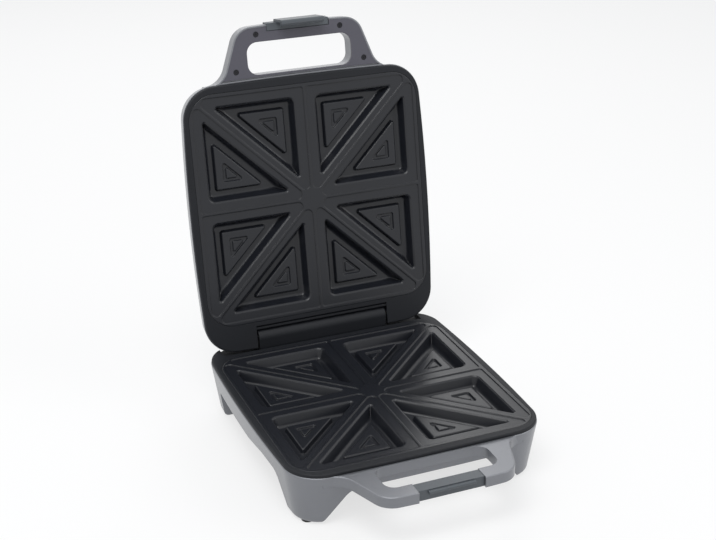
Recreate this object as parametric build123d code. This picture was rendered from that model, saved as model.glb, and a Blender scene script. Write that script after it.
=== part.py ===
from build123d import *
import math
import os

# Sandwich toaster with a hinged lid: two cast plates with eight triangular pockets each, in a
# silver casing with a handle loop on both halves.
# Millimetres. X runs across the casing, -Y is the handle side, +Y the hinge side, +Z up.
# The pieces are first built with the lid closed, with the casing's centre at x = y = 0 and the
# table at z = 0. At the end the lid is opened, and the whole is moved so that the origin is the
# centre of its bounding box on the table.

# ---------------------------------------------------------------- driving dimensions
casing_width = 284.0        # across the dark bezel, at its widest
casing_depth = 303.4        # front to rear of the dark bezel
side_bow = 5.2              # how far each side bows out between its corners
front_bow = 2.2             # the same, on the front and the rear
corner_radius = 37.0
rim_height = 62.0           # top of the base bezel above the table
bezel_edge = 3.5            # height of the bezel's edge above the silver shell
shell_step = 0.8            # how far the silver shell stands out past the bezel
shell_wall = 2.5
wall_draft = 8.5            # degrees, the walls of both shells lean in
closed_gap = 1.0            # between the two bezels when the lid is shut
lid_height = 36.0           # from the lid's bezel face to its top
lid_top_radius = 18.0

# hinge
open_angle = 99.85          # degrees from shut to the open stop
hinge_inset = 12.3          # axis in front of the casing's rear edge
hinge_rise = 10.0           # axis above the base bezel
beam_length = 156.0
beam_radius = 9.5
beam_hollow = 6.0           # half width of the wire channel in the beam
beam_channel = 72.0         # length of that channel
lug_gap = 2.3               # between the beam's end and the lid's lug
lug_thickness = 7.5
lug_radius = 8.0
pin_radius = 2.0
pin_in_beam = 12.0
bush_wall = 2.0
shroud_clearance = 3.5      # radial, between the beam and the lid's hinge shroud
shroud_wall = 2.0
shroud_lift = 1.2           # of its lower edge above the bezel's face
shroud_end = 66.0           # degrees above level, where the shroud ends behind the beam
rear_step = 4.0             # depth of the rear band's step, which the open lid dips into
rear_step_width = 244.0
rear_step_front = 25.7      # from the casing's rear edge to the step's riser

# cooking plates
field_side = 11.8           # from the casing's side to the sealing borders' outer lines
field_front = 13.2          # the same at the handle side
field_rear = 36.2           # and at the hinge side
ridge_width = 2.8           # raised cutting ridges between the borders
border_depth = 1.0          # the sealing borders lie this far below the ridges
leg_border = 10.4           # width of the sealing border along a pocket's two legs
long_border = 7.2           # and along its long side
border_tip = 6.0            # radius of a border's two narrow corners
pocket_depth = 12.5
pocket_slope = 20.0         # degrees
pocket_corner = 7.5
plate_flange = 3.0
plate_margin = 4.0          # plate outside the sealing borders
plate_corner = 30.0
plate_wall = 2.2
ledge_width = 3.0           # ledge of the bezel, under and outside the plate's flange
ledge_thickness = 3.0
pocket_floor_radius = 3.5
pocket_lip = 0.9            # width and depth of the soft lip round a pocket's mouth
terrace_rise = 5.0          # triangular terrace on the pocket's floor
terrace_inset = 10.6        # from the pocket's mouth, along its two legs
terrace_long_inset = 11.3   # and along its long side
terrace_corner = 3.0
terrace_edge_radius = 1.6
recess_depth = 2.2          # triangular recess in the terrace
recess_inset = 9.6
recess_long_inset = 9.4
recess_corner = 2.4
core_drop = 0.4             # raised core in that recess, a little below the terrace
core_inset = 3.2
core_long_inset = 2.2
core_corner = 1.8
core_edge_radius = 0.5

# legs and arches of the base
leg_rounding = 6.0
foot_clear = 1.0            # the rubber feet lift the legs this far off the table
front_arch_rise = 38.0      # underside of the front wall above the table
front_arch_top = 80.3       # half width of the front arch at its top
front_arch_slope = 51.0     # degrees
front_arch_radius = 20.0
side_arch_rise = 32.5       # underside of the side walls above the table
side_arch_peak = 39.0       # the side arch climbs to this beside the front leg
side_arch_front = 88.0      # from the centre to the front leg, at the peak's height
side_arch_slope = 64.0      # degrees
side_arch_rear = 100.0      # from the centre to the rear leg
side_arch_rear_run = 3.0    # how far the rear leg's edge runs back to the table
side_arch_crest = 38.0      # length of the arch's peak
side_arch_fall = 45.0       # length over which it falls to the flat belly
side_arch_radii = (14.0, 20.0, 40.0, 4.0)   # of its corners, from the front leg to the rear leg
foot_x = 118.5
foot_y = 126.0
foot_radius = 6.5
foot_thickness = 3.0

# bottom cover
cover_gap = 2.6             # between the cover's floor and the lowest screw head above it
cover_dish = 8.0            # depth of the cover below its flange
cover_flange = 8.0
cover_slope = 16.0          # width of the sloping part
cover_thickness = 2.0
cover_boss_y = (-10.0, 74.0)
cover_boss_radius = 4.2
cover_boss_top = 6.0        # below the shell's top
cover_boss_web = 3.0
cover_screw_depth = 6.5     # of a screw in its boss
vent_count = 7
vent_length = 42.0
vent_width = 4.0
vent_pitch = 11.0
vent_row = 30.0             # from the middle to each row's centre

# handles
handle_front = 58.8         # from the casing's front edge to the handle's front, in the middle
handle_bow = 2.0
handle_root = 91.6          # half width where the handle meets the casing
handle_tip = 70.1           # half width at the front, before its corners are rounded
handle_root_radius = 25.0
handle_tip_radius = 22.0
base_handle_thickness = 11.5
lid_handle_thickness = 19.5
lid_handle_drop = 0.5       # of the lid handle's face below the shell's rim
slot_width = 122.0
slot_front = 18.2           # width of the bar in front of the slot
base_slot_depth = 38.7
lid_slot_depth = 35.5
slot_radius = 12.0
handle_edge_radius = 1.2
lid_handle_edge_radius = 6.0
handle_rim = 1.8            # silver rim round the dark handle cover
handle_cover_thickness = 2.5
handle_cover_ledge = 1.5
handle_strip = 2.4          # silver strip between the lid's bezel and the dark handle cover
cover_screw_front = (49.0, 10.0)   # half spacing, and distance from the handle's front
cover_screw_rear = (75.0, 48.3)
cover_screw_boss = 3.6

# latch
catch_width = 71.0
catch_ledge_width = 50.0
catch_ledge = 4.4           # thickness of the ledge that the hook holds
catch_depth = 6.2           # of the catch's seat in the handle
catch_set_back = 3.8        # of the catch's face behind its ledge
catch_skirt = 2.5           # thickness of the catch's front skirt
catch_edge_radius = 1.2
ledge_reach = 0.4           # of the ledge's tip behind the handle's front
ledge_drop = 1.2            # of the ledge below the catch's top
latch_width = 72.0
latch_hook_width = 49.0
latch_barrel = 4.4          # radius of the lever round its pin
latch_pin_radius = 1.5
latch_pin_in_wall = 4.0
latch_rib_end = 2.0         # of the rib past the pin's end
latch_rise = 9.5            # pin above the handle cover's face
latch_inset = 3.0           # pin behind the handle's front
latch_bite = 2.6            # hook under the ledge
latch_arm = 3.2             # thickness of the hook's arm
latch_lip = 4.6             # thickness of the hook's lip, whose underside is a ramp
latch_lip_tip = 0.6         # thickness of the lip at its tip
latch_gap = 0.6             # between the shut lip and the ledge
latch_stand_off = 0.7       # of the arm in front of the handle
latch_arm_radius = 1.8
latch_notch = 7.8           # depth of the notch in the handle's front
latch_notch_rise = 1.2      # of the notch above the lever's barrel
latch_notch_wall = 1.6

# heating
element_radius = 3.25
element_span = 172.0        # width of the loop
element_bend = 14.0
element_terminals = 24.0    # between its two ends
element_tail = 20.0
boss_span = 140.0           # between opposite fixing bosses of a plate
boss_radius = 4.5
clamp_width = 12.0
clamp_thickness = 1.2
reflector_thickness = 0.8
reflector_span = 214.0
reflector_lip = 4.0
stack_screw_radius = 2.0
stack_screw_head = 4.0
stack_head_height = 2.2
stack_slot = (6.0, 1.0, 0.8)        # length, width and depth of the slot in a screw's head
stack_screw_length = 14.0
thermostat_radius = 9.0
thermostat_height = 9.0
thermostat_tab = (0.8, 6.0, 4.0)    # thickness, width and height of its terminals
thermostat_tab_x = 5.0
fuse_radius = 2.0
fuse_length = 14.0
fuse_offset = 42.0          # from the plate's centre
fuse_clip_wall = 1.0
fuse_clip_length = 8.0

# rear inlet, wiring block and lamps
inlet_x = 96.0
inlet_z = 45.4
cord_hole_radius = 3.5      # in the bush's nose
inlet_radius = 6.0
inlet_nose = 8.0            # the bush stands out this far behind its flange
wire_hole_radius = 4.2      # through the wall, inside the bush
inlet_seat = 4.1            # inner face of the pad round the inlet, in front of the casing's rear edge
inlet_flange = 8.5
inlet_flange_thickness = 2.0
inlet_pad_rim = 1.5         # of the pad past the bush's flange
terminal_block_size = (36.0, 13.0, 11.0)
terminal_block_inset = 14.0         # from the casing's rear edge
terminal_bore = 2.0
terminal_pitch = 11.0
lens_radius = 4.0
lens_proud = 0.6
lens_flange = 1.5           # width and thickness of the lens's flange
lens_edge_radius = 0.8
lens_window = 1.3           # thickness of the lens over its lamp
lamp_gap = 0.3              # radial
lamp_height = 2.3
lamp_board_size = (40.0, 14.0, 1.6)
lens_spacing = 24.0
lens_y = -118.0
lamp_radius = 2.3

# screws of the covers, the catch and the hinge beam
screw_radius = 1.5
screw_head = 3.2
screw_head_height = 2.0
cross_size = (3.6, 0.8)     # length and width of the cross recess
cover_head_depth = 1.2      # thickness of a handle cover screw's head
cover_screw_sink = 0.8      # of the head below the cover's face
cover_screw_length = 8.0    # of those screws in their bosses
catch_screw_x = 27.0        # from the middle
catch_screw_inset = 6.0     # in front of the handle's slot
catch_screw_cover = 1.2     # of the catch left above its screws' holes
beam_screw_x = 56.0         # from the middle

# clearances
seat_clearance = 0.3        # between covers, bezels and what they sit in
running_clearance = 0.06    # radial, pins in bushes
press_clearance = 0.02      # radial, fixed pins, screws and bushes
latch_side_clearance = 0.5

# ---------------------------------------------------------------- levels and places
half_width = casing_width / 2
half_depth = casing_depth / 2
field_width = casing_width - 2 * field_side
field_depth = casing_depth - field_front - field_rear
field_offset = (field_front - field_rear) / 2
lean = math.tan(math.radians(wall_draft))
shell_top = rim_height - bezel_edge
lid_face = rim_height + closed_gap
lid_shell_rim = lid_face + bezel_edge
lid_top = lid_face + lid_height
lid_handle_face = lid_shell_rim - lid_handle_drop
lid_handle_top = lid_handle_face + lid_handle_thickness
hinge_y = half_depth - hinge_inset
hinge_z = rim_height + hinge_rise
lug_x = beam_length / 2 + lug_gap
step_front_y = half_depth - rear_step_front
step_floor = rim_height - rear_step
step_sheet = step_floor - shell_wall
handle_y = -half_depth - handle_front
slot_front_y = handle_y + slot_front
catch_top = shell_top - seat_clearance
latch_y = handle_y + latch_inset
latch_z = lid_handle_face + latch_rise
ledge_bottom = catch_top - catch_ledge
catch_screw_y = slot_front_y - catch_screw_inset
inlet_pad = inlet_flange + inlet_pad_rim
inlet_face_y = half_depth + shell_step - lean * (shell_top - inlet_z - inlet_pad)
inlet_inner_y = half_depth - inlet_seat
boss_depth = pocket_depth + plate_wall + 2 * element_radius
clamp_depth = boss_depth + clamp_thickness
reflector_depth = clamp_depth + reflector_thickness
cover_floor = rim_height - reflector_depth - stack_head_height - cover_gap - cover_thickness
cover_flange_z = cover_floor + cover_dish
cover_reach = shell_step - shell_wall - lean * (shell_top - cover_flange_z)
handle_bottom = shell_top - base_handle_thickness
ledge_y = handle_y + ledge_reach
latch_pin_half = latch_width / 2 + latch_pin_in_wall
catch_face_y = handle_y + catch_set_back
lens_seat = lid_top - shell_wall
lens_hollow_top = lid_top + lens_proud - lens_window


# ---------------------------------------------------------------- helpers
def casing_face(grow, z):
    """The casing's bowed, round-cornered outline, grown outward, as a face at height z."""
    x, y = half_width + grow, half_depth + grow
    corner_x, corner_y = x - side_bow, y - front_bow
    sides = [
        ThreePointArc((corner_x, -corner_y), (x, 0), (corner_x, corner_y)),
        ThreePointArc((corner_x, corner_y), (0, y), (-corner_x, corner_y)),
        ThreePointArc((-corner_x, corner_y), (-x, 0), (-corner_x, -corner_y)),
        ThreePointArc((-corner_x, -corner_y), (0, -y), (corner_x, -corner_y)),
    ]
    face = make_face(sides)
    return Pos(0, 0, z) * fillet(face.vertices(), radius=corner_radius + grow)


def casing_block(grow, low, high):
    """A straight-sided block of the casing's outline."""
    return extrude(casing_face(grow, low), amount=high - low)


def drafted_block(grow, start, end):
    """A block of the casing's outline that leans inward from height start to height end."""
    return loft([casing_face(grow, start), casing_face(grow - lean * abs(end - start), end)], ruled=True)


def box(x, y, z):
    """A box from its (low, high) limits along each axis."""
    centre = [(low + high) / 2 for low, high in (x, y, z)]
    return Pos(*centre) * Box(x[1] - x[0], y[1] - y[0], z[1] - z[0])


def upright(radius, x, y, low, high):
    """A vertical cylinder between two heights."""
    return Pos(x, y, (low + high) / 2) * Cylinder(radius, high - low)


def bar_x(radius, low, high, y, z):
    """A cylinder along X."""
    return Pos((low + high) / 2, y, z) * Rot(0, 90, 0) * Cylinder(radius, high - low)


def bar_y(radius, x, low, high, z):
    """A cylinder along Y."""
    return Pos(x, (low + high) / 2, z) * Rot(90, 0, 0) * Cylinder(radius, high - low)


def four(x, y, y_centre=0.0):
    """The four places at +-x and y_centre +- y."""
    return [(i * x, y_centre + j * y) for i in (-1, 1) for j in (-1, 1)]


def both_sides(solid):
    """A solid and its mirror image across the middle plane."""
    return solid + mirror(solid, about=Plane.YZ)


# ---------------------------------------------------------------- handle outline
def handle_face(inset, z):
    """The handle's outline from inside the casing to its bowed front, inset all round."""
    root_y = -half_depth + handle_root_radius
    edge_y = -half_depth + front_bow + 0.3
    side = Line((handle_root, edge_y), (handle_tip, handle_y + handle_bow))
    front = ThreePointArc((handle_tip, handle_y + handle_bow), (0, handle_y), (-handle_tip, handle_y + handle_bow))
    far = handle_root + handle_root_radius * 0.75
    outline = [
        Line((far, edge_y), (handle_root, edge_y)),
        side,
        front,
        mirror(side, about=Plane.YZ),
        Line((-handle_root, edge_y), (-far, edge_y)),
        Line((-far, edge_y), (-far, root_y)),
        Line((-far, root_y), (far, root_y)),
        Line((far, root_y), (far, edge_y)),
    ]
    face = make_face(outline)
    tips = [v for v in face.vertices() if v.Y < edge_y - 1]
    face = fillet(tips, radius=handle_tip_radius)
    roots = [v for v in face.vertices() if abs(abs(v.X) - handle_root) < 0.01 and abs(v.Y - edge_y) < 0.01]
    face = fillet(roots, radius=handle_root_radius)
    if inset:
        face = offset(face, amount=-inset)
    return Pos(0, 0, z) * face


def slot_block(depth, grow, low, high):
    """The finger slot through a handle."""
    centre_y = slot_front_y + depth / 2
    face = RectangleRounded(slot_width + 2 * grow, depth + 2 * grow, slot_radius + grow)
    return Pos(0, centre_y, low) * extrude(face, amount=high - low)


# ---------------------------------------------------------------- cooking plates
# Both halves are built face down in the same way: the face at z = 0, depth along +Z.
def pocket_triangle(leg_x, leg_y, corner, tip):
    """A right-angled triangle with its right angle at the origin, that corner and its two tips rounded."""
    face = make_face(Polyline((0, 0), (leg_x, 0), (0, leg_y), close=True))
    sharp = [v for v in face.vertices() if abs(v.X) + abs(v.Y) > 1]
    face = fillet(sharp, radius=tip)
    square = [v for v in face.vertices() if abs(v.X) + abs(v.Y) < 0.01]
    return fillet(square, radius=corner)


def inset_triangle(leg_x, leg_y, leg_gap, long_gap):
    """Leg lengths of the triangle left inside another one, with its gaps to the legs and the long side."""
    long_side = math.hypot(leg_x, leg_y)
    shrink = 1 - (leg_gap * (leg_x + leg_y) / (leg_x * leg_y) + long_gap * long_side / (leg_x * leg_y))
    return leg_x * shrink, leg_y * shrink


def sloped(face, low, high, slope):
    """A prism of a face between two depths, whose walls lean inward by a slope in degrees."""
    return Pos(0, 0, low) * extrude(face, amount=high - low, taper=slope)


cell_x = (field_width - ridge_width) / 2
cell_y = (field_depth - ridge_width) / 2
diagonal = math.hypot(cell_x, cell_y)
border_x = cell_x - ridge_width / 2 * diagonal / cell_y
border_y = cell_y - ridge_width / 2 * diagonal / cell_x
pocket_x, pocket_y = inset_triangle(border_x, border_y, leg_border, long_border)


def pocket_places():
    """Where the right angles of the eight triangles lie, and the signs of their two legs."""
    for side in (-1, 1):
        for end in (-1, 1):
            near_x, far_x = side * ridge_width / 2, side * (ridge_width / 2 + cell_x)
            near_y, far_y = end * ridge_width / 2, end * (ridge_width / 2 + cell_y)
            yield near_x, far_y, side, -end
            yield far_x, near_y, -side, end


def at_pockets(build):
    """One triangle's solid, laid into all eight places."""
    group = []
    for x, y, sign_x, sign_y in pocket_places():
        solid = build
        if sign_x < 0:
            solid = mirror(solid, about=Plane.YZ)
        if sign_y < 0:
            solid = mirror(solid, about=Plane.XZ)
        group.append(Pos(x, y + field_offset, 0) * solid)
    return group


def plate_face(grow):
    """The outline of a plate's flange."""
    width = field_width + 2 * (plate_margin + grow)
    depth = field_depth + 2 * (plate_margin + grow)
    return Pos(0, field_offset, 0) * RectangleRounded(width, depth, plate_corner + grow)


def stepped_triangle(corner_at, legs, corner, low, high):
    """One step of a pocket's relief: a triangle's prism with leaning walls."""
    face = pocket_triangle(*legs, corner, corner)
    return Pos(corner_at, corner_at, 0) * sloped(face, low, high, pocket_slope)


def pocket_tools():
    """What one pocket adds to the plate's back, takes from its face, and adds on its floor."""
    mouth = Pos(leg_border, leg_border, 0) * pocket_triangle(pocket_x, pocket_y, pocket_corner, pocket_corner / 3)
    cup = sloped(offset(mouth, amount=plate_wall), border_depth, pocket_depth + plate_wall, pocket_slope)
    hollow = sloped(mouth, 0, pocket_depth, pocket_slope)
    hollow = fillet(hollow.faces().sort_by(Axis.Z)[-1].outer_wire().edges(), radius=pocket_floor_radius)
    lip = sloped(offset(mouth, amount=pocket_lip), border_depth, border_depth + pocket_lip, 50)
    sunk = extrude(pocket_triangle(border_x, border_y, ridge_width, border_tip), amount=border_depth)
    terrace_top = pocket_depth - terrace_rise
    terrace_at = leg_border + terrace_inset
    terrace_legs = inset_triangle(pocket_x, pocket_y, terrace_inset, terrace_long_inset)
    terrace = stepped_triangle(terrace_at, terrace_legs, terrace_corner, pocket_depth, terrace_top)
    terrace = fillet(terrace.faces().sort_by(Axis.Z)[0].outer_wire().edges(), radius=terrace_edge_radius)
    recess_at = terrace_at + recess_inset
    recess_legs = inset_triangle(*terrace_legs, recess_inset, recess_long_inset)
    recess = stepped_triangle(recess_at, recess_legs, recess_corner, terrace_top, terrace_top + recess_depth)
    core_legs = inset_triangle(*recess_legs, core_inset, core_long_inset)
    core_top = terrace_top + core_drop
    core = stepped_triangle(recess_at + core_inset, core_legs, core_corner, core_top + recess_depth, core_top)
    core = fillet(core.faces().sort_by(Axis.Z)[0].outer_wire().edges(), radius=core_edge_radius)
    return cup, sunk + hollow + lip, terrace - recess + core


def cast_plate():
    """A plate with its borders, pockets, terraces and the bosses on its back."""
    cup, hollow, relief = pocket_tools()
    plate = extrude(plate_face(0), amount=plate_flange)
    plate += at_pockets(cup)
    plate -= at_pockets(hollow)
    plate += at_pockets(relief)
    for x, y in boss_places():
        boss = upright(boss_radius, x, y, plate_flange - border_depth / 2, boss_depth)
        hole = upright(stack_screw_radius + press_clearance, x, y, boss_depth - stack_screw_length, boss_depth)
        plate = plate + boss - hole
    return plate


def boss_places():
    """The four fixing bosses, in the channels between the pockets."""
    half = boss_span / 2
    return [(half, field_offset), (-half, field_offset), (0, field_offset + half), (0, field_offset - half)]


def element_tube():
    """The tubular heating element: one loop under the pockets, with both ends at the rear."""
    half = element_span / 2
    end = element_terminals / 2
    rear = field_offset + half
    route = [
        (-end, rear + element_tail), (-end, rear), (-half, rear), (-half, field_offset - half),
        (half, field_offset - half), (half, rear), (end, rear), (end, rear + element_tail),
    ]
    depth = pocket_depth + plate_wall + element_radius
    radii = [end * 0.8] + [element_bend] * 4 + [end * 0.8]
    path = FilletPolyline(*[(x, y, depth) for x, y in route], radius=radii)
    return sweep(Plane(path @ 0, z_dir=path % 0) * Circle(element_radius), path=path)


def element_clamps():
    """Four sheet straps that hold the element against the plate."""
    half, reach = boss_span / 2, element_span / 2 + element_radius + 1
    middle = (half - boss_radius + reach) / 2
    strap = Box(reach - half + boss_radius, clamp_width, clamp_thickness)
    strap = Pos(middle, 0, boss_depth + clamp_thickness / 2) * strap
    strap -= upright(stack_screw_radius + press_clearance, half, 0, boss_depth, clamp_depth)
    return [Pos(0, field_offset, 0) * Rot(0, 0, 90 * turn) * strap for turn in range(4)]


def heat_reflector():
    """A shallow sheet tray that keeps the heat on the plate's side."""
    outer = RectangleRounded(reflector_span, reflector_span, element_bend)
    inner = offset(outer, amount=-reflector_thickness)
    tray = Pos(0, 0, clamp_depth - reflector_lip) * extrude(outer, amount=reflector_lip + reflector_thickness)
    tray -= Pos(0, 0, clamp_depth - reflector_lip) * extrude(inner, amount=reflector_lip)
    tray = Pos(0, field_offset, 0) * tray
    for x, y in boss_places():
        tray -= upright(stack_screw_radius + press_clearance, x, y, clamp_depth, reflector_depth)
    return tray


def stack_screws():
    """The four screws through reflector and strap into the plate's bosses."""
    length, width, depth = stack_slot
    top = reflector_depth + stack_head_height
    screws = []
    for x, y in boss_places():
        shank = upright(stack_screw_radius, x, y, reflector_depth - stack_screw_length + 1, reflector_depth)
        head = upright(stack_screw_head, x, y, reflector_depth, top)
        slot = box((x - length / 2, x + length / 2), (y - width / 2, y + width / 2), (top - depth, top))
        screws.append(shank + head - slot)
    return screws


def thermostat():
    """A disc thermostat on the middle of the plate's back, with two flat terminals."""
    thickness, width, height = thermostat_tab
    top = plate_flange + thermostat_height
    body = upright(thermostat_radius, 0, field_offset, plate_flange, top)
    for x in (-thermostat_tab_x, thermostat_tab_x):
        body += box((x - thickness / 2, x + thickness / 2), (field_offset - width / 2, field_offset + width / 2),
                    (top, top + height))
    return body


def thermal_fuse():
    """A thermal fuse in a clip on the plate's back."""
    y = field_offset + fuse_offset
    reach = fuse_radius + fuse_clip_wall
    axis = plate_flange + reach
    ends = (y - fuse_clip_length / 2, y + fuse_clip_length / 2)
    clip = box((-reach, reach), ends, (plate_flange, axis + reach)) - bar_y(fuse_radius, 0, *ends, axis)
    return clip, bar_y(fuse_radius, 0, y - fuse_length / 2, y + fuse_length / 2, axis)


def bezel_ring():
    """The dark frame round a plate, with the ledge that the plate's flange rests on."""
    ring = casing_block(0, 0, bezel_edge)
    top = ring.edges().group_by(Axis.Z)[0]
    ring = fillet(top, radius=1.6)
    depth = plate_flange + ledge_thickness
    reach = shell_step - shell_wall - lean * (depth - bezel_edge) - seat_clearance
    ledge = extrude(plate_face(ledge_width), amount=depth) & casing_block(reach, 0, depth)
    through = extrude(plate_face(-ledge_width), amount=depth)
    opening = extrude(plate_face(seat_clearance), amount=plate_flange)
    return ring + ledge - through - opening


# ---------------------------------------------------------------- base casing
def arch_profile():
    """The front arch, flat on top with rounded shoulders and sloping legs, as a face in X and Z."""
    low = -rim_height
    spread = (front_arch_rise - low) / math.tan(math.radians(front_arch_slope))
    face = make_face(Polyline(
        (-front_arch_top, front_arch_rise), (front_arch_top, front_arch_rise),
        (front_arch_top + spread, low), (-front_arch_top - spread, low), close=True))
    shoulders = [v for v in face.vertices() if v.Y > 0]
    return fillet(shoulders, radius=front_arch_radius)


def side_profile():
    """The side walls' lower edge as a face in Y and Z: a flat belly that climbs to a peak by the front leg."""
    low = -rim_height
    spread = (side_arch_peak - low) / math.tan(math.radians(side_arch_slope))
    crest_end = -side_arch_front + side_arch_crest
    corners = [
        (-side_arch_front, side_arch_peak), (crest_end, side_arch_peak),
        (crest_end + side_arch_fall, side_arch_rise), (side_arch_rear, side_arch_rise),
    ]
    face = make_face(Polyline(
        (-side_arch_front - spread, low), *corners, (side_arch_rear + side_arch_rear_run, low), close=True))
    for (y, z), radius in zip(corners, side_arch_radii):
        sharp = [v for v in face.vertices() if math.hypot(v.X - y, v.Y - z) < 0.01]
        face = fillet(sharp, radius=radius)
    return face


def front_void(grow):
    """What the front and the rear arch remove, grown by a wall inside the legs."""
    face = offset(arch_profile(), amount=grow) if grow else arch_profile()
    prism = extrude(Plane.XZ * face, amount=casing_depth)
    return prism + mirror(prism, about=Plane.XZ)


def side_void(grow):
    """What the side arches remove."""
    face = offset(side_profile(), amount=grow) if grow else side_profile()
    return extrude(Plane.YZ * face, amount=casing_width, both=True)


def cover_pan(grow):
    """The outside of the bottom cover: a flange, a sloping border and a flat floor."""
    reach = cover_reach + grow - seat_clearance
    flange = casing_block(reach, cover_flange_z - grow, cover_flange_z + cover_thickness)
    upper = casing_face(reach - cover_flange, cover_flange_z + cover_thickness)
    lower = casing_face(reach - cover_flange - cover_slope, cover_floor - grow)
    return flange + loft([lower, upper], ruled=True)


def cover_boss_places():
    """The four screws of the bottom cover, in its flange beside the side walls."""
    x = half_width + cover_reach - cover_boss_radius
    return [(side * (x - side_bow * (y / half_depth) ** 2), y) for side in (-1, 1) for y in cover_boss_y]


def base_shell():
    """The silver lower casing: leaning walls, four hollow legs, arches and the handle loop."""
    body = drafted_block(shell_step, shell_top, foot_clear)
    body = fillet(body.edges().group_by(Axis.Z)[0], radius=leg_rounding)
    outer = body + extrude(handle_face(0, handle_bottom), amount=base_handle_thickness)
    rim = outer.faces().sort_by(Axis.Z)[-1].outer_wire().edges()
    outer = fillet(rim, radius=handle_edge_radius)
    outer = outer - slot_block(base_slot_depth, 0, 0, rim_height) - front_void(0) - side_void(0)
    cavity = drafted_block(shell_step - shell_wall, shell_top, foot_clear + shell_wall)
    upper = cavity & casing_block(casing_width, cover_flange_z, rim_height)
    legs = (cavity & casing_block(casing_width, 0, cover_flange_z)) - front_void(shell_wall) - side_void(shell_wall)
    shell = outer - upper - legs - cover_pan(seat_clearance) - rear_band(shell_wall, seat_clearance)
    shell = shell + cover_bosses(cavity) - cover_boss_holes()
    for x, y in four(foot_x, foot_y):
        shell -= upright(foot_radius + seat_clearance, x, y, 0, foot_thickness)
    shell += bar_y(inlet_pad, inlet_x, inlet_inner_y, inlet_face_y, inlet_z)
    shell -= bar_y(inlet_flange + seat_clearance, inlet_x, inlet_inner_y - inlet_pad, inlet_inner_y, inlet_z)
    shell -= bar_y(inlet_pad, inlet_x, inlet_face_y, half_depth + inlet_pad, inlet_z)
    shell -= bar_y(inlet_radius, inlet_x, inlet_inner_y - inlet_pad, half_depth + inlet_pad, inlet_z)
    return shell - catch_seat() - catch_screw_holes()


def rear_band(wall, gap):
    """The space of the bezel's stepped rear band, from the sheet under the step up to the rim."""
    x = rear_step_width / 2 + wall
    return box((-x, x), (step_front_y - wall - gap, half_depth + rim_height), (step_sheet, rim_height))


def cover_bosses(cavity):
    """The bottom cover's four bosses, each joined to the side wall by a web."""
    low, high = cover_flange_z + cover_thickness, shell_top - cover_boss_top
    group = []
    for x, y in cover_boss_places():
        outer = math.copysign(half_width, x)
        web = box(sorted((x, outer)), (y - cover_boss_web / 2, y + cover_boss_web / 2), (low, high))
        group.append((web & cavity) + upright(cover_boss_radius, x, y, low, high))
    return group


def cover_boss_holes():
    """The pilot holes in those bosses."""
    high = cover_flange_z + cover_thickness + cover_screw_depth + 1
    return [upright(screw_radius + press_clearance, x, y, cover_flange_z, high) for x, y in cover_boss_places()]


def catch_seat():
    """The seat that the catch fills in the middle of the base handle's bar."""
    x = (-catch_width / 2, catch_width / 2)
    top = box(x, (handle_y - 1, slot_front_y + 1), (catch_top - catch_depth, rim_height))
    return top + box(x, (handle_y - 1, catch_face_y + catch_skirt), (0, rim_height))


def latch_catch():
    """The dark block in the base handle, with the ledge that the lid's hook holds."""
    half = catch_width / 2 - seat_clearance
    x = (-half, half)
    block = box(x, (catch_face_y, slot_front_y - handle_edge_radius), (catch_top - catch_depth, catch_top))
    skirt = box(x, (catch_face_y, catch_face_y + catch_skirt), (handle_bottom, catch_top))
    ledge = box((-catch_ledge_width / 2, catch_ledge_width / 2), (ledge_y, catch_face_y),
                (ledge_bottom, catch_top - ledge_drop))
    ledge = fillet(ledge.edges().filter_by(Axis.X).sort_by(Axis.Y)[:2], radius=catch_edge_radius)
    block = block + skirt + ledge
    for x in (-catch_screw_x, catch_screw_x):
        block -= upright(screw_radius + press_clearance, x, catch_screw_y,
                         catch_top - catch_depth, catch_top - catch_screw_cover)
    return block


def catch_screws():
    """The two screws that hold the catch from under the handle."""
    seat = handle_bottom + screw_head_height
    return [upright(screw_radius, x, catch_screw_y, seat, catch_top - catch_screw_cover - 1)
            + upright(screw_head, x, catch_screw_y, handle_bottom, seat) for x in (-catch_screw_x, catch_screw_x)]


def catch_screw_holes():
    """What those screws and their heads take out of the handle."""
    holes = []
    for x in (-catch_screw_x, catch_screw_x):
        holes.append(upright(screw_radius + press_clearance, x, catch_screw_y, 0, catch_top - catch_depth))
        holes.append(upright(screw_head + press_clearance, x, catch_screw_y, 0, handle_bottom + screw_head_height))
    return holes


def bottom_cover():
    """The vented cover under the base."""
    pan = cover_pan(0) - Pos(0, 0, cover_thickness) * cover_pan(0)
    slit = extrude(SlotOverall(vent_length, vent_width, rotation=90), amount=2 * cover_thickness, both=True)
    for y in (-vent_row, vent_row):
        for k in range(vent_count):
            pan -= Pos((k - (vent_count - 1) / 2) * vent_pitch, y, cover_floor) * slit
    for x, y in cover_boss_places():
        pan -= upright(screw_radius + press_clearance, x, y, cover_floor, cover_flange_z + 2 * cover_thickness)
    gland_y = inlet_inner_y - inlet_flange_thickness - seat_clearance
    return pan - bar_y(inlet_flange + seat_clearance, inlet_x, gland_y, half_depth, inlet_z)


def cover_screws():
    """The four screws of the bottom cover."""
    low, high = cover_flange_z, cover_flange_z + cover_thickness + cover_screw_depth
    return [upright(screw_radius, x, y, low, high) + upright(screw_head, x, y, low - screw_head_height, low)
            for x, y in cover_boss_places()]


def rubber_feet():
    """Four rubber pads let into the legs."""
    return [upright(foot_radius, x, y, 0, foot_thickness) for x, y in four(foot_x, foot_y)]


def base_bezel():
    """The base's dark frame, with the step behind the plate that the open lid dips into."""
    bezel = Pos(0, 0, rim_height) * mirror(bezel_ring(), about=Plane.XY)
    bezel += casing_block(0, step_sheet, rim_height - bezel_edge / 2) & rear_band(shell_wall, 0)
    bezel -= step_well()
    for x in (-beam_screw_x, beam_screw_x):
        bezel -= upright(screw_radius + press_clearance, x, hinge_y, 0, rim_height)
    return bezel


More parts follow.
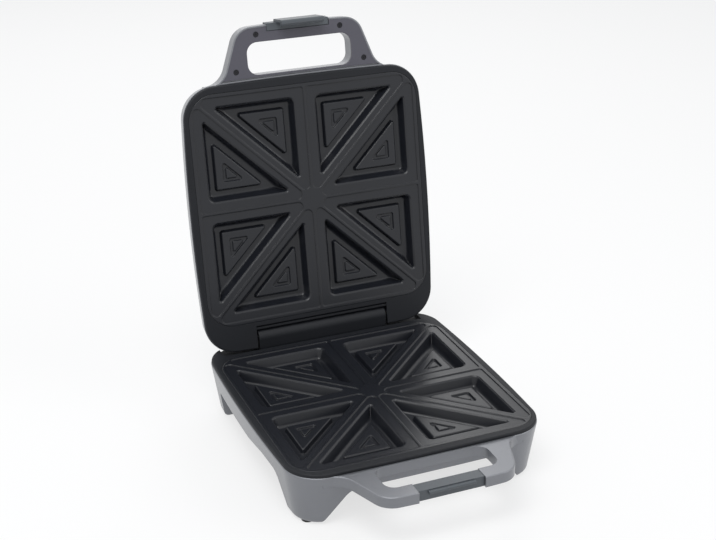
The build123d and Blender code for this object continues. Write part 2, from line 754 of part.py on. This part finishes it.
def step_well():
    """The well of the rear step, open to the rear."""
    x = rear_step_width / 2
    return box((-x, x), (step_front_y, half_depth + rim_height), (step_floor, rim_height + rear_step))


# ---------------------------------------------------------------- hinge
def hinge_beam():
    """The half-round hinge housing across the rear, with a wire channel and a bore at each end."""
    half = beam_length / 2
    foot = box((-half, half), (hinge_y - beam_radius, hinge_y + beam_radius), (step_floor, hinge_z))
    beam = foot + bar_x(beam_radius, -half, half, hinge_y, hinge_z)
    channel = beam_channel / 2
    beam -= box((-channel, channel), (hinge_y - beam_hollow, hinge_y + beam_hollow), (step_floor, hinge_z))
    for side in (-1, 1):
        low, high = sorted((side * half, side * (half - pin_in_beam)))
        beam -= bar_x(pin_radius + press_clearance, low, high, hinge_y, hinge_z)
    for x in (-beam_screw_x, beam_screw_x):
        beam -= upright(screw_radius + press_clearance, x, hinge_y, step_floor, hinge_z)
    return beam


def beam_screws():
    """The two screws that hold the hinge housing from under the bezel's rear band."""
    return [upright(screw_radius, x, hinge_y, step_sheet, hinge_z - 1)
            + upright(screw_head, x, hinge_y, step_sheet - screw_head_height, step_sheet)
            for x in (-beam_screw_x, beam_screw_x)]


def hinge_pins():
    """The two steel pins, fixed in the beam and free in the lid's bushes."""
    inner, outer = beam_length / 2 - pin_in_beam, lug_x + lug_thickness
    return [bar_x(pin_radius, *sorted((side * inner, side * outer)), hinge_y, hinge_z) for side in (-1, 1)]


def hinge_bushes():
    """The two bushes in the lid's lugs."""
    bushes = []
    for side in (-1, 1):
        low, high = sorted((side * lug_x, side * (lug_x + lug_thickness)))
        bush = bar_x(pin_radius + running_clearance + bush_wall, low, high, hinge_y, hinge_z)
        bushes.append(bush - bar_x(pin_radius + running_clearance, low, high, hinge_y, hinge_z))
    return bushes


# ---------------------------------------------------------------- lid casing
def lid_bezel():
    """The lid's dark frame, with its hinge cut-out, the shroud over the beam and the two lugs."""
    inner = beam_radius + shroud_clearance
    outer = inner + shroud_wall
    ends = (-lug_x, lug_x)
    bezel = Pos(0, 0, lid_face) * bezel_ring()
    bezel -= box(ends, (hinge_y - outer, half_depth + rim_height), (lid_face - 1, lid_shell_rim + bezel_edge))
    tube = bar_x(outer, *ends, hinge_y, hinge_z) - bar_x(inner, *ends, hinge_y, hinge_z)
    behind = Pos(0, hinge_y, hinge_z) * Rot(shroud_end - 90, 0, 0) * Pos(0, outer, 0)
    tube -= behind * Box(2 * casing_width, 2 * outer, 4 * outer)
    bezel += tube & box(ends, (hinge_y - 2 * outer, hinge_y + 2 * outer), (lid_face + shroud_lift, lid_top))
    bore = pin_radius + running_clearance + bush_wall + press_clearance
    for side in (-1, 1):
        lug = sorted((side * lug_x, side * (lug_x + lug_thickness)))
        bezel += bar_x(lug_radius, *lug, hinge_y, hinge_z)
        bezel += box(lug, (hinge_y - lug_radius, hinge_y + lug_radius), (lid_face + 1, hinge_z))
        bezel -= bar_x(bore, *lug, hinge_y, hinge_z)
    return bezel


def lid_shell():
    """The silver upper casing with its handle, hollow underneath."""
    body = drafted_block(shell_step, lid_shell_rim, lid_top)
    body = fillet(body.edges().group_by(Axis.Z)[-1], radius=lid_top_radius)
    handle = extrude(handle_face(0, lid_handle_face), amount=lid_handle_thickness)
    crown = [e for e in handle.edges().group_by(Axis.Z)[-1] if e.center().Y < -half_depth - front_bow]
    handle = fillet(crown, radius=lid_handle_edge_radius) - casing_block(0, 0, lid_shell_rim)
    outer = body + handle - slot_block(lid_slot_depth, 0, 0, lid_top)
    cavity = drafted_block(shell_step - shell_wall, lid_shell_rim, lid_top - shell_wall)
    cavity = fillet(cavity.edges().group_by(Axis.Z)[-1], radius=lid_top_radius - shell_wall)
    shell = outer - cavity - handle_channel() + latch_ribs()
    for x, y in cover_screw_places():
        low = lid_handle_face + handle_cover_thickness
        shell += upright(cover_screw_boss, x, y, low, lid_handle_top - shell_wall)
        shell -= upright(screw_radius + press_clearance, x, y, low, low + cover_screw_length + 1)
    shell -= latch_notch_block()
    shell -= bar_x(latch_pin_radius + press_clearance, -latch_pin_half, latch_pin_half, latch_y, latch_z)
    shell -= box((-lug_x, lug_x), (hinge_y, half_depth + rim_height), (0, hinge_z + beam_radius + shroud_clearance))
    for x in (-lens_spacing / 2, lens_spacing / 2):
        shell -= upright(lens_radius + press_clearance, x, lens_y, lens_seat, lid_top)
    return shell


def handle_channel():
    """The hollow in the lid's handle, and the seat of its cover."""
    channel = extrude(handle_face(handle_rim + handle_cover_ledge, lid_handle_face),
                      amount=lid_handle_thickness - shell_wall)
    channel -= slot_block(lid_slot_depth, shell_wall, 0, lid_top)
    channel -= casing_block(shell_step + handle_strip, 0, lid_top)
    seat = extrude(handle_face(handle_rim, lid_handle_face), amount=handle_cover_thickness)
    return channel + seat - casing_block(shell_step + handle_strip - handle_cover_ledge, 0, lid_handle_face
                                         + handle_cover_thickness)


def latch_ribs():
    """The walls round the latch's notch, inside the handle, that hold its pin."""
    z = (lid_handle_face + handle_cover_thickness, lid_handle_top - shell_wall)
    rear = handle_y + latch_notch
    ribs = both_sides(box((latch_width / 2, latch_pin_half + latch_rib_end), (handle_y + shell_wall / 2, rear), z))
    half = latch_pin_half + latch_rib_end
    return ribs + box((-half, half), (rear, rear + latch_notch_wall), z)


def cover_screw_places():
    """The four screws of the handle cover."""
    places = []
    for x, back in (cover_screw_front, cover_screw_rear):
        places += [(x, handle_y + back), (-x, handle_y + back)]
    return places


def latch_notch_block():
    """The notch in the middle of the lid handle's front that the latch lever fills."""
    half = latch_width / 2 + latch_side_clearance
    return box((-half, half), (handle_y - latch_notch, handle_y + latch_notch),
               (0, latch_z + latch_barrel + latch_notch_rise))


def lid_handle_cover():
    """The dark grey cover on the inner side of the lid's handle."""
    cover = extrude(handle_face(handle_rim + seat_clearance / 3, lid_handle_face), amount=handle_cover_thickness)
    cover -= casing_block(shell_step + handle_strip, 0, lid_top)
    cover = cover - slot_block(lid_slot_depth, 0, 0, lid_top) - latch_notch_block()
    recess = cover_screw_sink + cover_head_depth
    for x, y in cover_screw_places():
        cover -= upright(screw_radius + press_clearance, x, y, 0, lid_top)
        cover -= upright(screw_head + press_clearance, x, y, 0, lid_handle_face + recess)
    return cover


def handle_cover_screws():
    """The four cross-head screws of the handle cover."""
    length, width = cross_size
    low = lid_handle_face + cover_screw_sink
    high = low + cover_head_depth
    cross = Box(length, width, cover_head_depth) + Box(width, length, cover_head_depth)
    screws = []
    for x, y in cover_screw_places():
        head = upright(screw_head, x, y, low, high) - Pos(x, y, low) * cross
        tip = lid_handle_face + handle_cover_thickness + cover_screw_length
        screws.append(head + upright(screw_radius, x, y, high, tip))
    return screws


# ---------------------------------------------------------------- latch
def latch_lever():
    """The latch: a barrel on its pin, a finger plate and a hook that reaches down to the catch."""
    half, hook = latch_width / 2, latch_hook_width / 2
    lip_top = ledge_bottom - latch_gap
    lip_low = lip_top - latch_lip
    rear = handle_y - latch_stand_off
    front = rear - latch_arm
    lever = bar_x(latch_barrel, -half, half, latch_y, latch_z)
    lever += box((-half, half), (rear, latch_y + latch_barrel), (lid_handle_face + latch_gap, latch_z))
    arm = box((-hook, hook), (front, rear), (lip_low, latch_z))
    lever += fillet(arm.edges().filter_by(Axis.X).group_by(Axis.Y)[0], radius=latch_arm_radius)
    tip = ledge_y + latch_bite
    lip = make_face(Polyline((rear, lip_top), (tip, lip_top), (tip, lip_top - latch_lip_tip),
                             (ledge_y, lip_low), (rear, lip_low), close=True))
    lever += extrude(Plane.YZ * lip, amount=hook, both=True)
    return lever - bar_x(latch_pin_radius + running_clearance, -half, half, latch_y, latch_z)


def latch_pin():
    """The steel pin that the lever swings on."""
    return bar_x(latch_pin_radius, -latch_pin_half, latch_pin_half, latch_y, latch_z)


# ---------------------------------------------------------------- rear inlet, wiring block and lamps
def inlet_gland():
    """The rubber bush in the rear wall where the supply cord enters."""
    nose_y = inlet_face_y + inlet_flange_thickness
    gland = bar_y(inlet_radius, inlet_x, inlet_inner_y, nose_y + inlet_nose, inlet_z)
    gland += bar_y(inlet_flange, inlet_x, inlet_face_y, nose_y, inlet_z)
    gland += bar_y(inlet_flange, inlet_x, inlet_inner_y - inlet_flange_thickness, inlet_inner_y, inlet_z)
    gland -= bar_y(wire_hole_radius, inlet_x, inlet_inner_y - inlet_flange_thickness, nose_y, inlet_z)
    return gland - bar_y(cord_hole_radius, inlet_x, nose_y, nose_y + inlet_nose, inlet_z)


def terminal_block():
    """The ceramic terminal block under the rear band, with three clamp bores."""
    length, depth, height = terminal_block_size
    rear = half_depth - terminal_block_inset
    block = box((-length / 2, length / 2), (rear - depth, rear), (step_sheet - height, step_sheet))
    for k in (-1, 0, 1):
        block -= bar_y(terminal_bore, k * terminal_pitch, rear - depth, rear, step_sheet - height / 2)
    return block


def indicator_lenses():
    """The power and ready lamps' lenses in the lid's top."""
    lenses = []
    for x in (-lens_spacing / 2, lens_spacing / 2):
        lens = upright(lens_radius, x, lens_y, lens_seat, lid_top + lens_proud)
        lens = fillet(lens.edges().group_by(Axis.Z)[-1], radius=lens_edge_radius)
        lens += upright(lens_radius + lens_flange, x, lens_y, lens_seat - lens_flange, lens_seat)
        lenses.append(lens - upright(lamp_radius + lamp_gap, x, lens_y, lens_seat - lens_flange, lens_hollow_top))
    return lenses


def lamps():
    """The two small lamps behind the lenses."""
    low = lens_seat - lens_flange
    return [upright(lamp_radius, x, lens_y, low, low + lamp_height) for x in (-lens_spacing / 2, lens_spacing / 2)]


def lamp_board():
    """The board that holds both lamps."""
    length, width, thickness = lamp_board_size
    top = lens_seat - lens_flange
    return box((-length / 2, length / 2), (lens_y - width / 2, lens_y + width / 2), (top - thickness, top))


# ---------------------------------------------------------------- assembly
def to_base(solids):
    """Pieces built against a plate's face, laid into the base."""
    return [Pos(0, 0, rim_height) * mirror(solid, about=Plane.XY) for solid in solids]


def to_lid(solids):
    """The same, laid into the shut lid."""
    return [Pos(0, 0, lid_face) * solid for solid in solids]


def to_open(solids):
    """Swings the shut lid's pieces to the open stop."""
    swing = Pos(0, hinge_y, hinge_z) * Rot(-open_angle, 0, 0) * Pos(0, -hinge_y, -hinge_z)
    return [swing * solid for solid in solids]


def base_nodes():
    """Every piece of the base, by its name."""
    fuse_clip, fuse = thermal_fuse()
    return {
        "base_shell": [base_shell()],
        "base_bezel": [base_bezel()],
        "base_plate": to_base([cast_plate()]),
        "base_heating_element": to_base([element_tube()]),
        "base_element_clamps": to_base(element_clamps()),
        "base_heat_reflector": to_base([heat_reflector()]),
        "base_plate_screws": to_base(stack_screws()),
        "thermostat": to_base([thermostat()]),
        "thermal_fuse": to_base([fuse]),
        "fuse_clip": to_base([fuse_clip]),
        "terminal_block": [terminal_block()],
        "cord_grommet": [inlet_gland()],
        "bottom_cover": [bottom_cover()],
        "bottom_cover_screws": cover_screws(),
        "rubber_feet": rubber_feet(),
        "latch_catch": [latch_catch()],
        "latch_catch_screws": catch_screws(),
        "hinge_beam": [hinge_beam()],
        "hinge_beam_screws": beam_screws(),
        "hinge_pins": hinge_pins(),
    }


def lid_nodes():
    """Every piece of the lid, by its name, with the lid shut."""
    power_lens, ready_lens = indicator_lenses()
    return {
        "lid_shell": [lid_shell()],
        "lid_bezel": [lid_bezel()],
        "lid_plate": to_lid([cast_plate()]),
        "lid_heating_element": to_lid([element_tube()]),
        "lid_element_clamps": to_lid(element_clamps()),
        "lid_heat_reflector": to_lid([heat_reflector()]),
        "lid_plate_screws": to_lid(stack_screws()),
        "hinge_bushes": hinge_bushes(),
        "handle_cover": [lid_handle_cover()],
        "handle_cover_screws": handle_cover_screws(),
        "latch_pin": [latch_pin()],
        "power_lens": [power_lens],
        "ready_lens": [ready_lens],
        "indicator_lamps": lamps(),
        "lamp_board": [lamp_board()],
    }


def all_nodes():
    """Every node's solids with the lid open, as the object rests."""
    nodes = base_nodes()
    for name, solids in lid_nodes().items():
        nodes[name] = to_open(solids)
    nodes["latch_lever"] = to_open([latch_lever()])
    return nodes


def write_nodes(nodes):
    """Centres the open object on its origin, writes one file per node and prints the main places."""
    os.makedirs("parts", exist_ok=True)
    boxes = [solid.bounding_box() for solids in nodes.values() for solid in solids]
    middle = (min(b.min.Y for b in boxes) + max(b.max.Y for b in boxes)) / 2
    for name, solids in nodes.items():
        placed = [Pos(0, -middle, 0) * solid for solid in solids]
        export_step(placed[0] if len(placed) == 1 else Compound(children=placed), f"parts/{name}.step")
    latch_axis = to_open([upright(1, 0, latch_y, latch_z - 1, latch_z + 1)])[0].center()
    print("open object moved by", round(-middle, 4), "along Y")
    print("hinge axis at", 0, round(hinge_y - middle, 4), hinge_z)
    print("latch axis at", 0, round(latch_axis.Y - middle, 4), round(latch_axis.Z, 4))
    nose_middle = inlet_face_y + inlet_flange_thickness + inlet_nose / 2
    print("cord entry at", inlet_x, round(nose_middle - middle, 4), inlet_z)
    print("feet at", foot_x, [round(side * foot_y - middle, 4) for side in (-1, 1)], 0)


write_nodes(all_nodes())
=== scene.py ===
"""Looks of a four-slice sandwich toaster: its finishes, the floor, the light and the camera."""

import logging
import math
from dataclasses import dataclass, field
from enum import Enum

import bpy
from mathutils import Matrix, Vector

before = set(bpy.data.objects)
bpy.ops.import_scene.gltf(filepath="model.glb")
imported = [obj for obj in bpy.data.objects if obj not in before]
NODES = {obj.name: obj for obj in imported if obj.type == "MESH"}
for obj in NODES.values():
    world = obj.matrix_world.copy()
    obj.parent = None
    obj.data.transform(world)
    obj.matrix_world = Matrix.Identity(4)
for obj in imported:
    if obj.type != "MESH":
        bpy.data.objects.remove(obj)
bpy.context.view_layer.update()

log = logging.getLogger("toaster")

MM = 0.001
WHITE = (1.0, 1.0, 1.0, 1.0)
SENSOR_MM = 36.0

Place = tuple[float, float, float]


# ------------------------------------------------------------------ small helpers
def linear(code: str) -> tuple[float, float, float, float]:
    """Turns an sRGB hex colour to linear RGBA.

    Args:
        code: a colour such as "#9a9ca6".

    Returns:
        Linear red, green and blue, and an alpha of one.
    """
    parts = [int(code[i:i + 2], 16) / 255 for i in (1, 3, 5)]
    flat = [c / 12.92 if c <= 0.04045 else ((c + 0.055) / 1.055) ** 2.4 for c in parts]
    return (*flat, 1.0)


def add(tree: bpy.types.NodeTree, kind: str, settings: dict[str | int, object] | None = None,
        **links: bpy.types.NodeSocket) -> bpy.types.Node:
    """Adds one shader node with its settings and links.

    Args:
        tree: the node tree to add to.
        kind: the node's type name.
        settings: attributes of the node, and values for its inputs by index or name.
        links: the output socket that feeds each input. The key is the input's name, with
            underscores for spaces, or "i" and its index.

    Returns:
        The new node.
    """
    made = tree.nodes.new(kind)
    for name, value in (settings or {}).items():
        if isinstance(name, int) or name in made.inputs:
            made.inputs[name].default_value = value
        else:
            setattr(made, name, value)
    for name, output in links.items():
        key = int(name[1:]) if name[0] == "i" and name[1:].isdigit() else name.replace("_", " ")
        tree.links.new(output, made.inputs[key])
    return made


def per_metre(size_mm: float) -> float:
    """Gives a texture's scale for features of a real size in millimetres."""
    return 1.0 / (size_mm * MM)


class Sheen(Enum):
    """Roughness of a moulded, coated or turned surface."""

    MATT = 0.58
    SATIN = 0.42
    SILK = 0.31
    GLOSS = 0.14


# ------------------------------------------------------------------ finishes
CLOUD_DETAIL = 3.0
GRAIN_DETAIL = 2.0
EDGE_SAMPLES = 6
ROUGHNESS_SPREAD = 0.05     # how far the grain takes the roughness either way
COAT_ROUGHNESS = 0.2


@dataclass(frozen=True)
class Finish:
    """A procedural surface: a base colour in soft clouds, a fine grain and a soft edge.

    Attributes:
        name: the material's name, for what the real surface is.
        colour: sRGB hex of the clean surface.
        shade: sRGB hex of its slightly duller patches.
        sheen: how closed the surface is.
        metallic: share of metal.
        grain_mm: size of the grain.
        grain_depth_mm: height of the grain.
        cloud_mm: size of the cloudy patches.
        edge_mm: radius that the light sees on sharp edges.
        coat: weight of a clear coat.
        specular: strength of the plain reflection.
    """

    name: str
    colour: str
    shade: str
    sheen: Sheen
    metallic: float = 0.0
    grain_mm: float = 0.6
    grain_depth_mm: float = 0.02
    cloud_mm: float = 40.0
    edge_mm: float = 0.5
    coat: float = 0.0
    specular: float = 0.5

    def build(self) -> bpy.types.Material:
        """Makes the material, or gives the one that is already made.

        Returns:
            The Blender material with its nodes.
        """
        made = bpy.data.materials.get(self.name)
        if made:
            return made
        material = bpy.data.materials.new(self.name)
        material.use_nodes = True
        tree = material.node_tree
        tree.nodes.clear()
        place = add(tree, "ShaderNodeTexCoord").outputs["Object"]
        cloud = add(tree, "ShaderNodeTexNoise",
                    {"Scale": per_metre(self.cloud_mm), "Detail": CLOUD_DETAIL}, Vector=place)
        grain = add(tree, "ShaderNodeTexNoise",
                    {"Scale": per_metre(self.grain_mm), "Detail": GRAIN_DETAIL}, Vector=place)
        tint = add(tree, "ShaderNodeMix",
                   {"data_type": "RGBA", 6: linear(self.shade), 7: linear(self.colour)},
                   i0=cloud.outputs["Fac"])
        rough = add(tree, "ShaderNodeMapRange",
                    {"To Min": self.sheen.value - ROUGHNESS_SPREAD,
                     "To Max": self.sheen.value + ROUGHNESS_SPREAD},
                    Value=grain.outputs["Fac"])
        edge = add(tree, "ShaderNodeBevel", {"samples": EDGE_SAMPLES, "Radius": self.edge_mm * MM})
        bump = add(tree, "ShaderNodeBump", {"Strength": 1.0, "Distance": self.grain_depth_mm * MM},
                   Height=grain.outputs["Fac"], Normal=edge.outputs["Normal"])
        shader = add(tree, "ShaderNodeBsdfPrincipled",
                     {"Metallic": self.metallic, "Coat Weight": self.coat,
                      "Coat Roughness": COAT_ROUGHNESS, "Specular IOR Level": self.specular},
                     Base_Color=tint.outputs[2], Roughness=rough.outputs["Result"],
                     Normal=bump.outputs["Normal"])
        add(tree, "ShaderNodeOutputMaterial", Surface=shader.outputs["BSDF"])
        return material


# Fine metal flake under a satin lacquer: grey in the shade, with light lines along the edges.
SILVER = Finish("satin_silver_lacquer", "#7d7f84", "#76787d", Sheen.SATIN, metallic=0.6, grain_mm=0.5,
                grain_depth_mm=0.005, edge_mm=1.0, coat=0.45)
# Fine moulded grain: nearly black, with a dull grey shine on the rims.
BLACK = Finish("grained_black_plastic", "#191b20", "#15171b", Sheen.MATT, grain_mm=0.8, edge_mm=0.7,
               specular=0.28)
# Smooth baked coating on a casting: charcoal, with soft silky highlights on every rounded step.
COATING = Finish("baked_nonstick_coating", "#1c1e24", "#17191e", Sheen.SILK, grain_mm=1.2,
                 grain_depth_mm=0.006, edge_mm=1.6, coat=0.08, specular=0.4)
# Grey moulded cover: flat and even, a shade darker than the silver round it.
COVER_GREY = Finish("grained_grey_cover", "#4e4d56", "#494851", Sheen.SATIN, grain_mm=0.8,
                    grain_depth_mm=0.012)
# Grey moulded latch parts: even, with slightly light edges.
LATCH_GREY = Finish("moulded_grey_latch", "#4f5459", "#4a4f54", Sheen.SATIN)
# Dull rubber: soaks up the light.
RUBBER = Finish("moulded_black_rubber", "#1b1b1c", "#232324", Sheen.MATT, grain_depth_mm=0.03)
# Zinc plate with a faint spangle.
SHEET = Finish("zinc_plated_sheet", "#b9bbbd", "#a3a5a7", Sheen.SATIN, metallic=1.0, cloud_mm=8.0)
# Plated screws: bright and a little worn.
SCREW = Finish("plated_screw_steel", "#a9a9ac", "#8e8e92", Sheen.SILK, metallic=1.0, edge_mm=0.2)
# Screws with painted shade: their dark colour stands for the shade in their recesses, as small dark dots
# in the grey cover.
DARK_SCREW = Finish("screw_steel_painted_shade", "#2b2b2f", "#232327", Sheen.SATIN, metallic=0.6, edge_mm=0.2)
# Ground pins: a clean bright line.
PIN = Finish("ground_bright_steel", "#d2d2d4", "#c0c0c4", Sheen.GLOSS, metallic=1.0, edge_mm=0.3)
# Turned bushes: warm yellow metal.
BRASS = Finish("turned_brass", "#c6a25a", "#b08d48", Sheen.SILK, metallic=1.0)
# Rolled sheet that throws the heat back: pale and bright.
REFLECTOR = Finish("bright_aluminium_sheet", "#d7d8da", "#c6c7c9", Sheen.SILK, metallic=1.0, cloud_mm=12.0)
# Element tube: brown and blue-grey from the heat.
ELEMENT = Finish("heat_tinted_tube", "#6a645c", "#55514d", Sheen.SATIN, metallic=0.9, cloud_mm=6.0)
# Glazed block: cream white with a clear shine.
CERAMIC = Finish("glazed_ceramic", "#ddd8c8", "#d2ccb9", Sheen.GLOSS)
# Pressed brown resin of the thermostat's body.
RESIN = Finish("pressed_brown_resin", "#4a3a2c", "#3e3025", Sheen.SATIN)
# Red and green clear plastic over the lamps.
LENS_RED = Finish("red_clear_plastic", "#a31410", "#8c100c", Sheen.GLOSS, grain_depth_mm=0.0)
LENS_GREEN = Finish("green_clear_plastic", "#1c7a2c", "#176825", Sheen.GLOSS, grain_depth_mm=0.0)
# Lamp bulbs: pale warm glass.
LAMP = Finish("warm_lamp_glass", "#e9c7a0", "#e0b98c", Sheen.GLOSS, grain_depth_mm=0.0)
# Brown laminate of the lamps' board.
BOARD = Finish("brown_laminate_board", "#8a6a3c", "#7c5e34", Sheen.SATIN)


# ------------------------------------------------------------------ sub-assemblies
class Half(Enum):
    """The toaster's two halves, as the names of their solids start."""

    BASE = "base"
    LID = "lid"


@dataclass
class SubAssembly:
    """A group of the toaster's solids and what they wear.

    Attributes:
        title: what the group is.
        finishes: the finish of each solid, by the solid's name.
    """

    title: str = ""
    finishes: dict[str, Finish] = field(default_factory=dict)

    def dress(self) -> None:
        """Gives each solid of the group its finish."""
        for name, finish in self.finishes.items():
            mesh = NODES[name].data
            mesh.materials.clear()
            mesh.materials.append(finish.build())
            log.info("%s: %s wears %s", self.title, name, finish.name)


@dataclass
class BaseCasing(SubAssembly):
    """The lower casing on its legs, with its frame, its cover and its feet."""

    title: str = "base casing"
    finishes: dict[str, Finish] = field(default_factory=lambda: {
        "base_shell": SILVER, "base_bezel": BLACK, "bottom_cover": BLACK,
        "bottom_cover_screws": SCREW, "rubber_feet": RUBBER})


@dataclass
class LidCasing(SubAssembly):
    """The upper casing with its frame and the grey cover of its handle."""

    title: str = "lid casing"
    finishes: dict[str, Finish] = field(default_factory=lambda: {
        "lid_shell": SILVER, "lid_bezel": BLACK, "handle_cover": COVER_GREY,
        "handle_cover_screws": DARK_SCREW})


@dataclass
class CookingSet(SubAssembly):
    """A cast plate with its heating element, straps, reflector and screws.

    Attributes:
        half: the half of the toaster that the plate is in.
    """

    half: Half = Half.BASE

    def __post_init__(self) -> None:
        """Names the group's solids after its half."""
        self.title = f"{self.half.value} cooking set"
        solids = {"plate": COATING, "heating_element": ELEMENT, "element_clamps": SHEET,
                  "heat_reflector": REFLECTOR, "plate_screws": SCREW}
        self.finishes = {f"{self.half.value}_{name}": finish for name, finish in solids.items()}


@dataclass
class Hinge(SubAssembly):
    """The hinge housing with its pins, bushes and screws."""

    title: str = "hinge"
    finishes: dict[str, Finish] = field(default_factory=lambda: {
        "hinge_beam": BLACK, "hinge_beam_screws": SCREW, "hinge_pins": PIN, "hinge_bushes": BRASS})


@dataclass
class Latch(SubAssembly):
    """The lever on the lid's handle and the catch in the base's."""

    title: str = "latch"
    finishes: dict[str, Finish] = field(default_factory=lambda: {
        "latch_lever": LATCH_GREY, "latch_pin": PIN, "latch_catch": LATCH_GREY,
        "latch_catch_screws": SCREW})


@dataclass
class Wiring(SubAssembly):
    """The cord's bush, the terminals, the thermostat and the fuse."""

    title: str = "wiring"
    finishes: dict[str, Finish] = field(default_factory=lambda: {
        "cord_grommet": RUBBER, "terminal_block": CERAMIC, "thermostat": RESIN,
        "thermal_fuse": PIN, "fuse_clip": SHEET})


@dataclass
class Indicators(SubAssembly):
    """The two lenses in the lid's top, with their lamps and board."""

    title: str = "indicators"
    finishes: dict[str, Finish] = field(default_factory=lambda: {
        "power_lens": LENS_RED, "ready_lens": LENS_GREEN, "indicator_lamps": LAMP,
        "lamp_board": BOARD})


# ------------------------------------------------------------------ studio
def seen_as_white(tree: bpy.types.NodeTree) -> bpy.types.NodeSocket:
    """Gives 1 for rays that should meet plain white: camera, glossy and transmission rays.

    Args:
        tree: the node tree of the floor or of the surround.

    Returns:
        The socket with that value.
    """
    rays = add(tree, "ShaderNodeLightPath")
    seen = add(tree, "ShaderNodeMath", {"operation": "MAXIMUM"},
               i0=rays.outputs["Is Camera Ray"], i1=rays.outputs["Is Glossy Ray"])
    return add(tree, "ShaderNodeMath", {"operation": "MAXIMUM"},
               i0=seen.outputs[0], i1=rays.outputs["Is Transmission Ray"]).outputs[0]


@dataclass(frozen=True)
class Softbox:
    """A square lamp that faces the object.

    Attributes:
        name: the lamp's name.
        place: its centre, in metres.
        side: its width and height, in metres.
        power: in watts.
    """

    name: str
    place: Place
    side: float
    power: float

    def hang(self, aim: Place) -> None:
        """Adds the lamp to the scene.

        Args:
            aim: the point that it faces, in metres.
        """
        data = bpy.data.lights.new(self.name, "AREA")
        data.size = self.side
        data.energy = self.power
        lamp = bpy.data.objects.new(self.name, data)
        lamp.location = self.place
        lamp.rotation_euler = (Vector(aim) - Vector(self.place)).to_track_quat("-Z", "Y").to_euler()
        bpy.context.scene.collection.objects.link(lamp)


@dataclass(frozen=True)
class Studio:
    """Floor, lamps, surround and camera.

    Attributes:
        floor_size: side of the square floor, in metres.
        floor_colour: sRGB hex of the paper on it.
        floor_glow: share of plain white that the camera and gloss see in it.
        fill_colour: sRGB hex of the light from all round.
        fill_strength: its strength, where 1 is white.
        lamp_aim: the point that the lamps face, in metres.
        softboxes: the lamps.
        camera_at: the camera's place, in metres.
        camera_aim: the point it looks at, in metres.
        roll_deg: its turn about the line of sight.
        lens_mm: its focal length.
    """

    floor_size: float = 8.0
    floor_colour: str = "#f4f4f4"
    floor_glow: float = 0.7
    fill_colour: str = "#eef1f5"
    fill_strength: float = 0.5
    lamp_aim: Place = (0.0, 0.0, 0.15)
    softboxes: tuple[Softbox, ...] = (
        Softbox("key_softbox", (-0.7, -0.7, 2.2), side=1.4, power=30.0),
        Softbox("fill_softbox", (1.6, -1.0, 1.2), side=1.2, power=9.0),
        Softbox("rear_softbox", (0.3, 1.6, 1.6), side=1.4, power=12.0))
    camera_at: Place = (-0.5326, -1.2646, 0.8112)
    camera_aim: Place = (-0.0104, -0.0013, 0.2003)
    roll_deg: float = -0.42
    lens_mm: float = 72.46

    def floor(self) -> None:
        """Makes the pale floor, which keeps the object's shadow."""
        bpy.ops.object.select_all(action="DESELECT")
        bpy.ops.mesh.primitive_plane_add(size=self.floor_size)
        floor = bpy.context.object
        floor.name = "studio_floor"
        material = bpy.data.materials.new("pale_studio_paper")
        material.use_nodes = True
        tree = material.node_tree
        tree.nodes.clear()
        paper = add(tree, "ShaderNodeBsdfDiffuse", {"Color": linear(self.floor_colour)})
        glow = add(tree, "ShaderNodeEmission", {"Color": WHITE, "Strength": 1.0})
        share = add(tree, "ShaderNodeMath", {"operation": "MULTIPLY", 1: self.floor_glow},
                    i0=seen_as_white(tree))
        mix = add(tree, "ShaderNodeMixShader",
                  i0=share.outputs[0], i1=paper.outputs[0], i2=glow.outputs[0])
        add(tree, "ShaderNodeOutputMaterial", Surface=mix.outputs[0])
        floor.data.materials.append(material)

    def surround(self) -> None:
        """Sets white for what the camera and gloss see, and a soft fill for the rest."""
        world = bpy.data.worlds.new("studio_surround")
        bpy.context.scene.world = world
        world.use_nodes = True
        tree = world.node_tree
        tree.nodes.clear()
        fill = add(tree, "ShaderNodeBackground",
                   {"Color": linear(self.fill_colour), "Strength": self.fill_strength})
        white = add(tree, "ShaderNodeBackground", {"Color": WHITE, "Strength": 1.0})
        mix = add(tree, "ShaderNodeMixShader",
                  i0=seen_as_white(tree), i1=fill.outputs[0], i2=white.outputs[0])
        add(tree, "ShaderNodeOutputWorld", Surface=mix.outputs[0])

    def camera(self) -> None:
        """Sets the camera where the photograph was taken from."""
        data = bpy.data.cameras.new("photo_camera")
        data.lens = self.lens_mm
        data.sensor_width = SENSOR_MM
        camera = bpy.data.objects.new("photo_camera", data)
        sight = Vector(self.camera_aim) - Vector(self.camera_at)
        turn = sight.to_track_quat("-Z", "Y").to_matrix()
        turn = turn @ Matrix.Rotation(math.radians(self.roll_deg), 3, "Z")
        camera.matrix_world = Matrix.Translation(self.camera_at) @ turn.to_4x4()
        bpy.context.scene.collection.objects.link(camera)
        bpy.context.scene.camera = camera

    def build(self) -> None:
        """Sets up the whole studio."""
        self.floor()
        self.surround()
        for softbox in self.softboxes:
            softbox.hang(self.lamp_aim)
        self.camera()
        bpy.context.scene.view_settings.view_transform = "Standard"


def main() -> None:
    """Dresses the sub-assemblies in order and sets up the studio."""
    logging.basicConfig(level=logging.INFO)
    groups = (BaseCasing(), CookingSet(half=Half.BASE), LidCasing(), CookingSet(half=Half.LID),
              Hinge(), Latch(), Wiring(), Indicators())
    for group in groups:
        group.dress()
    Studio().build()


if __name__ == "__main__":
    main()
